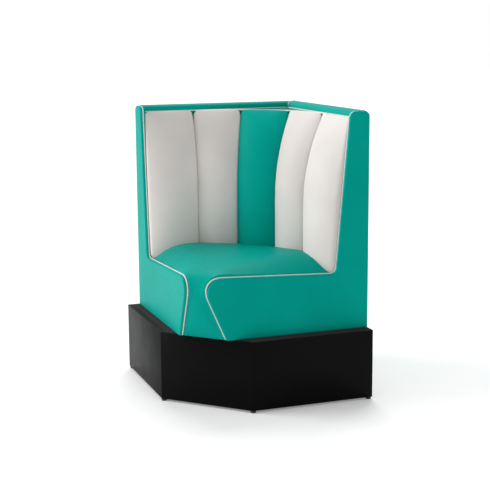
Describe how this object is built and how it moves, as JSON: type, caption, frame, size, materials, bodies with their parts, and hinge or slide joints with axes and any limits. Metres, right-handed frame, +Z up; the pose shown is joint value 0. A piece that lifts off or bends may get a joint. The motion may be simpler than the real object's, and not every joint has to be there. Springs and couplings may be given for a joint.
{
  "type": "diner sofa corner unit",
  "caption": "Inside corner unit of a diner sofa: channelled vinyl back rounding a square corner, crowned seat between piped end covers, padded top rails, on a wider black board plinth.",
  "frame": {"origin": "on the floor, under the centre of the square that the plinth's two backs and two ends lie on", "axes": "+Z up, +X out of the right back, +Y out of the left back; the front faces -X and -Y together"},
  "size_m": [0.732, 0.732, 1.0618],
  "materials": {
    "black_laminate": "satin",
    "glide_plastic": "matte",
    "zinc_steel": "satin",
    "plywood": "matte",
    "green_vinyl": "satin",
    "dark_green_vinyl": "satin",
    "cream_vinyl": "satin",
    "white_piping": "satin"
  },
  "bodies": {
    "root": {"back_board_left": "plywood", "back_board_right": "plywood", "back_rib_lower": "plywood", "back_rib_middle": "plywood", "back_rib_upper": "plywood", "base_board": "plywood", "bent_back_panel": "plywood", "channel_1_cream": "cream_vinyl", "channel_2_cream": "cream_vinyl", "channel_3_green": "green_vinyl", "channel_4_cream": "cream_vinyl", "channel_5_cream": "cream_vinyl", "channel_piping": "white_piping", "corner_shelf": "dark_green_vinyl", "deck_cleats": "plywood", "end_board_left": "plywood", "end_board_right": "plywood", "end_pad_left": "green_vinyl", "end_pad_right": "green_vinyl", "end_piping_left": "white_piping", "end_piping_right": "white_piping", "front_board": "plywood", "glides": "glide_plastic", "outside_cover_left": "green_vinyl", "outside_cover_right": "green_vinyl", "plinth_back_left": "black_laminate", "plinth_back_right": "black_laminate", "plinth_bolts": "zinc_steel", "plinth_corner_blocks": "plywood", "plinth_end_left": "black_laminate", "plinth_end_right": "black_laminate", "plinth_front": "black_laminate", "plinth_nuts": "zinc_steel", "plinth_top": "black_laminate", "rail_batten_left": "plywood", "rail_batten_right": "plywood", "rail_pad_left": "green_vinyl", "rail_pad_right": "green_vinyl", "rail_piping": "white_piping", "seat_deck": "plywood", "seat_pad": "green_vinyl"}
  },
  "joints": []
}
